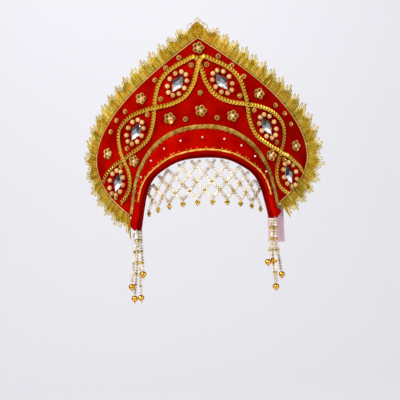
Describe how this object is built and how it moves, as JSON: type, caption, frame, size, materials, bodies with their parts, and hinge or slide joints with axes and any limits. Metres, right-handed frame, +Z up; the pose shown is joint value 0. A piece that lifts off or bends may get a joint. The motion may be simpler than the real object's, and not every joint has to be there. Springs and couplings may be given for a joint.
{
  "type": "kokoshnik headdress",
  "caption": "Pointed red kokoshnik headdress with gold lace edge, crossing gold braids, lozenge stones in pearl rings, bead net over the brow and bead strings at the temples",
  "frame": {"origin": "middle of the head opening, between the two tips of the brow band", "axes": "+Z up, -Y to the front of the headdress, +X to the wearer's left"},
  "size_m": [0.303, 0.1033, 0.3436],
  "materials": {
    "red_cloth": "fine matte pile cloth",
    "dark_cloth": "fine matte pile cloth",
    "gold_lace": "metallic thread lace",
    "gold_braid": "metallic thread braid",
    "dull_braid": "aged metallic thread braid",
    "crystal": "faceted, mirror-backed",
    "cream_pearl": "pearl lustre",
    "gold_bead": "polished gold plating",
    "white_bead": "pearl lustre",
    "pink_satin": "satin weave"
  },
  "bodies": {
    "root": {"crest_panel": "red_cloth", "front_band": "red_cloth", "band_facing": "dark_cloth", "lace_border": "gold_lace", "wave_braid_under": "gold_braid", "wave_braid_over": "gold_braid", "arch_braid": "dull_braid", "ridge_braid": "gold_braid", "bead_net": "white_bead", "ribbon_tab": "pink_satin", "stone_upper_left": "crystal", "pearls_upper_left": "cream_pearl", "stone_upper_right": "crystal", "pearls_upper_right": "cream_pearl", "stone_middle_left": "crystal", "pearls_middle_left": "cream_pearl", "stone_middle_right": "crystal", "pearls_middle_right": "cream_pearl", "stone_lower_left": "crystal", "pearls_lower_left": "cream_pearl", "stone_lower_right": "crystal", "pearls_lower_right": "cream_pearl", "flower_top": "gold_bead", "flower_centre": "gold_bead", "flower_edge_left": "gold_bead", "flower_edge_right": "gold_bead", "flower_arch_left": "gold_bead", "flower_arch_right": "gold_bead", "flower_side_left": "gold_bead", "flower_side_right": "gold_bead", "flower_temple_left": "gold_bead", "flower_temple_right": "gold_bead", "string_left_1": "white_bead", "string_left_2": "white_bead", "string_left_3": "white_bead", "string_left_4": "white_bead", "string_left_5": "white_bead", "string_right_1": "white_bead", "string_right_2": "white_bead", "string_right_3": "white_bead", "string_right_4": "white_bead", "string_right_5": "white_bead"}
  },
  "joints": []
}
